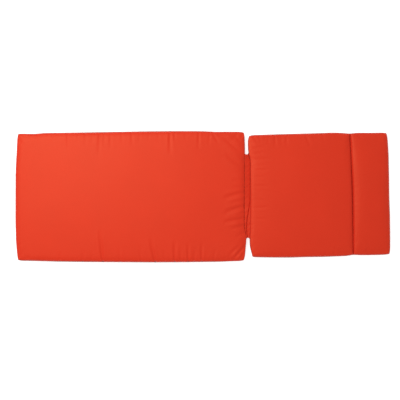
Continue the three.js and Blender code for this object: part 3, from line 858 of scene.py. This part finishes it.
def stitching_tree(material):
    """A node tree that lays stitches along a path, each turned along it and slightly uneven."""
    tree = bpy.data.node_groups.new("stitching", "GeometryNodeTree")
    socket = tree.interface.new_socket
    socket(name="Path", in_out="INPUT", socket_type="NodeSocketGeometry")
    for name in ("Pitch", "Length", "Thread"):
        socket(name=name, in_out="INPUT", socket_type="NodeSocketFloat")
    socket(name="Stitches", in_out="OUTPUT", socket_type="NodeSocketGeometry")
    add = tree.nodes.new
    link = tree.links.new
    given = add("NodeGroupInput")
    spaced = add("GeometryNodeResampleCurve")
    spaced.mode = "LENGTH"
    link(given.outputs["Path"], spaced.inputs["Curve"])
    link(given.outputs["Pitch"], spaced.inputs["Length"])
    stitch = add("GeometryNodeMeshUVSphere")
    stitch.inputs["Segments"].default_value = 8
    stitch.inputs["Rings"].default_value = 5
    stitch.inputs["Radius"].default_value = 0.5
    size = add("ShaderNodeCombineXYZ")
    link(given.outputs["Thread"], size.inputs["X"])
    link(given.outputs["Thread"], size.inputs["Y"])
    link(given.outputs["Length"], size.inputs["Z"])
    uneven = add("FunctionNodeRandomValue")
    uneven.data_type = "FLOAT_VECTOR"
    uneven.inputs["Min"].default_value = (0.9, 0.9, 0.85)
    uneven.inputs["Max"].default_value = (1.1, 1.1, 1.08)
    uneven.inputs["Seed"].default_value = 5
    scaled = add("ShaderNodeVectorMath")
    scaled.operation = "MULTIPLY"
    link(size.outputs[0], scaled.inputs[0])
    link(uneven.outputs["Value"], scaled.inputs[1])
    ahead = add("GeometryNodeInputTangent")
    turn = add("FunctionNodeAlignRotationToVector")
    turn.axis = "Z"
    link(ahead.outputs[0], turn.inputs["Vector"])
    placed = add("GeometryNodeInstanceOnPoints")
    link(spaced.outputs["Curve"], placed.inputs["Points"])
    link(stitch.outputs["Mesh"], placed.inputs["Instance"])
    link(turn.outputs["Rotation"], placed.inputs["Rotation"])
    link(scaled.outputs["Vector"], placed.inputs["Scale"])
    real = add("GeometryNodeRealizeInstances")
    link(placed.outputs["Instances"], real.inputs["Geometry"])
    painted = add("GeometryNodeSetMaterial")
    painted.inputs["Material"].default_value = material
    link(real.outputs["Geometry"], painted.inputs["Geometry"])
    result = add("NodeGroupOutput")
    link(painted.outputs["Geometry"], result.inputs["Stitches"])
    return tree


def stitched(name, tree, paths, pitch, length):
    """Stitches along paths, laid by that node tree, as one plain mesh."""
    curve = bpy.data.curves.new(name, "CURVE")
    curve.dimensions = "3D"
    for path in paths:
        spline = curve.splines.new("POLY")
        spline.points.add(len(path) - 1)
        for point, place in zip(spline.points, path):
            point.co = (*place, 1)
    laid = bpy.data.objects.new(name + "_path", curve)
    bpy.context.scene.collection.objects.link(laid)
    modifier = laid.modifiers.new("stitching", "NODES")
    modifier.node_group = tree
    sizes = {"Pitch": pitch, "Length": length, "Thread": THREAD_SIZE}
    for item in tree.interface.items_tree:
        if item.name in sizes:
            modifier[item.identifier] = sizes[item.name]
    evaluated = laid.evaluated_get(bpy.context.evaluated_depsgraph_get())
    mesh = bpy.data.meshes.new_from_object(evaluated)
    bpy.data.objects.remove(laid)
    mesh.name = name
    mesh.polygons.foreach_set("use_smooth", np.ones(len(mesh.polygons), bool))
    piece = bpy.data.objects.new(name, mesh)
    bpy.context.scene.collection.objects.link(piece)
    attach(piece, "root")
    return piece


stitching = stitching_tree(thread_material())
channel_column = int(np.argmin(back_plan["from_channel"][:, 0]))
above = back_top[channel_column, 2:-2] + np.array((0, 0, THREAD_PROUD))
below = back_bottom[channel_column, 2:-2] - np.array((0, 0, THREAD_PROUD))
stitched("channel_stitches", stitching, [above, below], STITCH_PITCH, STITCH_LENGTH)

# Hinge flap
# One strip of the same canvas, sewn into the facing seams of both pads and left slack, so that the
# back can be raised. Both ends are turned under and hemmed. It lies lower than the pads and falls
# towards the back pad. A fold steps down in it near one end, and runs over to the seat pad.
FLAP_THICKNESS = 1.2 * MM
HEM_WIDTH = 19 * MM
HEM_THICKNESS = 3 * MM
HEM_STEP = 0.6 * MM
HEM_EDGE = 1.3 * MM
HEM_EDGE_LINES = np.array([0, 0.4, 0.9, 1.6, 2.6]) * MM
HEM_EDGE_REACH = 5 * MM
HEM_STITCH_INSET = 16.5 * MM
HEM_STITCH_DIP = 1.4 * MM
HEM_STITCH_DIP_REACH = 2 * MM
HEM_STITCH_PITCH = 3.4 * MM
HEM_STITCH_LENGTH = 2.7 * MM
# Its rise beside the seat pad and its fall towards the back pad, then how its ends bow outward
FLAP_BULGE = 8 * MM
FLAP_FALL = 8.5 * MM
HEM_BULGE = 0.25
HEM_BULGE_REACH = 12 * MM
HOLD_POWER = 30
STEP_WIDTH = 0.26
END_BOW_SEAT = 5 * MM
END_BOW_BACK = 12 * MM
END_BOW_REACH = 14 * MM
END_BOW_POWER = 5
# How far it reaches into the seams, and how it thins out there
SEWN_IN = 0.5 * MM
SEWN_IN_TAPER = 1.5 * MM
FLAP_COLUMNS = 41
FLAP_PITCH = 2.8 * MM
FLAP_WAVES = (0.7 * MM, 14 * MM, 60 * MM, 10)
FLAP_SEED = 19
# How far from the back pad's seam the flap takes a painted shade and a little fading, and how much of
# both is lost where the cloth regains its height
FLAP_WEAR_AND_SHADE_REACH = 9 * MM
WEAR_AND_SHADE_LOST_BY_REGAIN = 2.5
# Place along the flap, the share of its width at which its fold steps down, how much of its fall the
# step takes, and how much of that the cloth beyond regains
FLAP_FOLD = np.array([
    (-240, 0.24, 0.80, 0.10),
    (-170, 0.29, 0.80, 0.12),
    (-125, 0.42, 0.90, 0.20),
    (-92, 0.57, 0.95, 0.25),
    (-65, 0.72, 0.85, 0.25),
    (-28, 0.88, 0.30, 0.10),
    (0, 0.955, 0, 0),
    (40, 0.955, 0, 0),
    (240, 0.955, 0, 0),
])


def fallen(share, step_at, step, regain):
    """Share of the flap's fall at a share of its width."""
    stepped = np.clip((share - step_at) / STEP_WIDTH + 0.5, 0, 1)
    beyond = np.clip((share - step_at) / (1 - step_at), 0, 1)
    return ((1 - step) * share + step * stepped**2 * (3 - 2 * stepped)) * (1 - regain * beyond)


seat_hinge = seam_line("seat_pad")["head"]
back_hinge = seam_line("back_pad")["foot"]

# Grid lines along and across the flap
count = round((FLAP_FAR - FLAP_NEAR) / FLAP_PITCH)
even = np.linspace(FLAP_NEAR + HEM_EDGE_REACH, FLAP_FAR - HEM_EDGE_REACH, count)
lengthwise = np.concatenate([FLAP_NEAR + HEM_EDGE_LINES, even, FLAP_FAR - HEM_EDGE_LINES[::-1]])
u = (1 - np.cos(np.linspace(0, math.pi, FLAP_COLUMNS)))[:, None] / 2

# Its middle surface, from seam to seam
fold = smooth_values(FLAP_FOLD[:, 1:], FLAP_FOLD[:, 0] * MM, lengthwise).T[:, None]
hold = 1 - np.abs(2 * u - 1) ** HOLD_POWER
from_end = np.minimum(lengthwise - FLAP_NEAR, FLAP_FAR - lengthwise)
outward = np.where(lengthwise > 0, 1, -1) * np.exp(-from_end / END_BOW_REACH)
bow = np.where(u < 0.5, END_BOW_SEAT, END_BOW_BACK) * np.abs(2 * u - 1) ** END_BOW_POWER
y = lengthwise[None] + bow * outward[None]
seat_edge = np.interp(y[0], seat_hinge[:, 1], seat_hinge[:, 0]) - SEWN_IN
back_edge = np.interp(y[-1], back_hinge[:, 1], back_hinge[:, 0]) + SEWN_IN
x = seat_edge[None] * (1 - u) + back_edge[None] * u
bulge = FLAP_BULGE * (1 + HEM_BULGE * np.exp(-from_end / HEM_BULGE_REACH))
z = SEAM_HEIGHT + hold * (bulge - FLAP_FALL * fallen(u, *fold))
middle = np.dstack([x, y, z])
middle[..., 2] += hold * waves(middle, np.random.default_rng(FLAP_SEED), *FLAP_WAVES)
from_stitches = (from_end - HEM_STITCH_INSET) / HEM_STITCH_DIP_REACH
middle[..., 2] -= HEM_STITCH_DIP * hold * np.exp(-(from_stitches**2))

# Its thickness, with round hemmed ends
hemmed = 1 / (1 + np.exp((from_end - HEM_WIDTH) / HEM_STEP))
thick = FLAP_THICKNESS + (HEM_THICKNESS - FLAP_THICKNESS) * hemmed
rounded = np.sqrt(1 - (1 - np.clip(from_end / HEM_EDGE, 0, 1)) ** 2)
from_seam = np.minimum(x - x[:1], x[-1:] - x)
sewn_in = np.clip(from_seam / SEWN_IN_TAPER, 0, 1)
offset = ((thick * rounded)[None] * sewn_in / 2)[..., None] * facing(middle)

# Where the flap lies low beside the back pad, it is darkened along that pad's seam by a painted shade,
# and faded a little as worn
sunk = np.clip(1 - WEAR_AND_SHADE_LOST_BY_REGAIN * fold[2], 0, 1)
flap_wear_and_shade = sunk * np.exp(-(x[-1:] - x) / FLAP_WEAR_AND_SHADE_REACH)

flap, _, _ = two_panel_mesh("hinge_flap_canvas", middle + offset, middle - offset, flap_wear_and_shade)
flap.data.materials.append(canvas_material("flap_canvas_painted_shade", FLAP_PAINTED_SHADE_TONE))
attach(flap, "root")
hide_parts("hinge_flap")

hem_paths = []
for end in (FLAP_NEAR + HEM_STITCH_INSET, FLAP_FAR - HEM_STITCH_INSET):
    row = int(np.argmin(np.abs(lengthwise - end)))
    hem_paths.append((middle + offset)[2:-2, row] + np.array((0, 0, THREAD_PROUD)))
stitched("hem_stitches", stitching, hem_paths, HEM_STITCH_PITCH, HEM_STITCH_LENGTH)
